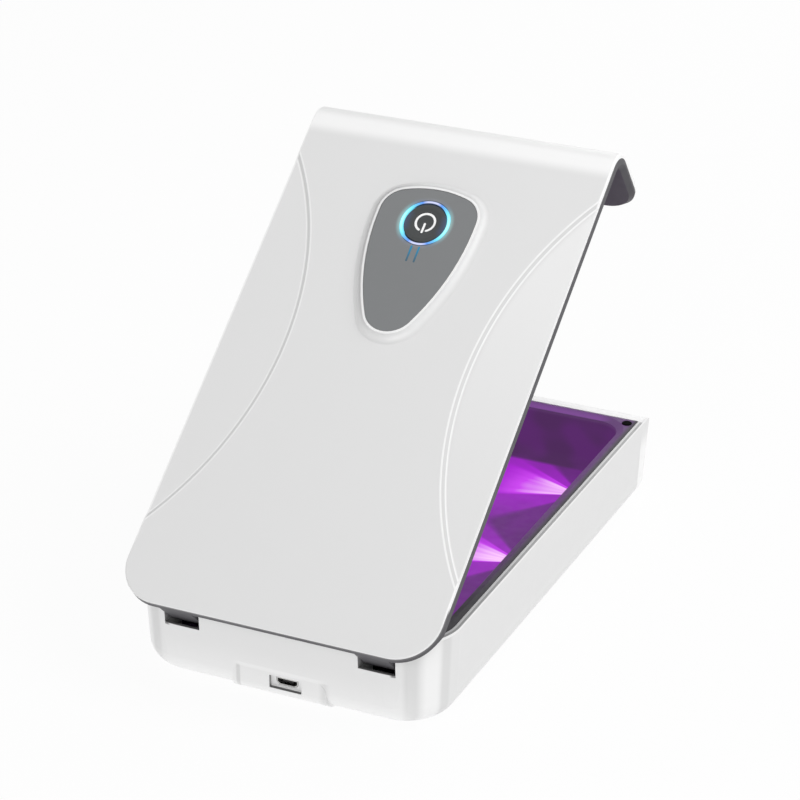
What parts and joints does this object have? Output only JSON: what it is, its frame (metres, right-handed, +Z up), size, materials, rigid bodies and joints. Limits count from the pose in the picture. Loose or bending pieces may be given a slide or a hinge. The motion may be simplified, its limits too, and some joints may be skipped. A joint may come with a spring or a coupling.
{
  "type": "uv sterilizer box",
  "caption": "Phone-sized ultraviolet sterilizer box: white base with a dark lined cavity, and a hinged lid that folds over the front and carries a power button with a light ring.",
  "frame": {"origin": "on the table plane, in the middle of the footprint that the box covers with its lid in the open rest pose", "axes": "+Z up, +Y from the hinge side to the front, +X to the right seen from the hinge side"},
  "size_m": [0.11, 0.1952, 0.1452],
  "materials": {
    "white_plastic": "satin white moulded ABS",
    "dark_liner": "matt dark grey moulded ABS",
    "tray_plastic": "matt dark grey moulded ABS, lit violet by the lamps",
    "badge_grey": "satin grey inlay",
    "button_black": "satin charcoal button",
    "ring_light": "frosted light guide, lit blue",
    "rubber_black": "matt black rubber",
    "rubber_grey": "matt grey rubber",
    "steel": "plain zinc-plated steel",
    "socket_steel": "bright tinned steel sheet",
    "bush_brass": "turned brass",
    "board_green": "solder-masked circuit board",
    "chip_black": "moulded black epoxy",
    "plug_cream": "cream nylon connector",
    "lead_amber": "amber polyimide flat lead",
    "cable_black": "black PVC sleeve",
    "lamp_violet": "lit ultraviolet emitter",
    "quartz": "clear quartz window",
    "magnet_nickel": "nickel-plated magnet"
  },
  "bodies": {
    "base": {"base_shell": "white_plastic", "inner_tray": "tray_plastic", "rubber_feet": "rubber_grey", "base_screws": "steel", "rim_bumpers": "rubber_black", "lamp_windows": "quartz", "uv_lamps": "lamp_violet", "lamp_strip_left": "board_green", "lamp_strip_right": "board_green", "lamp_lead_left": "lead_amber", "lamp_lead_right": "lead_amber", "usb_socket": "socket_steel", "usb_tongue": "chip_black", "main_board": "board_green", "board_chips": "chip_black", "board_plugs": "plug_cream", "hinge_pin_left": "steel", "hinge_pin_right": "steel", "pivot_bush_left": "bush_brass", "pivot_bush_right": "bush_brass", "friction_washers": "steel", "catch_magnets": "magnet_nickel", "base_cable": "cable_black"},
    "lid": {"lid_cover": "white_plastic", "lid_liner": "dark_liner", "lid_screws": "steel", "strike_plates": "steel", "badge_plate": "badge_grey", "light_streaks": "ring_light", "light_ring": "ring_light", "lid_board": "board_green", "touch_switch": "chip_black", "ring_leds": "plug_cream", "lid_cable": "cable_black", "lid_plug": "plug_cream"},
    "button": {"power_button": "button_black", "switch_plunger": "plug_cream"}
  },
  "joints": [
    {"name": "lid_hinge", "type": "hinge", "parent": "base", "child": "lid", "pos_m": [0, -0.08343, 0.025], "axis": [1, 0, 0], "range_deg": [-37.2, 28.8]},
    {"name": "button_press", "type": "slide", "parent": "lid", "child": "button", "axis": [0, 0.6046, -0.7965], "range_m": [0, 0.0005], "stiffness_N_per_m": 800, "springref_m": -0.0004}
  ]
}
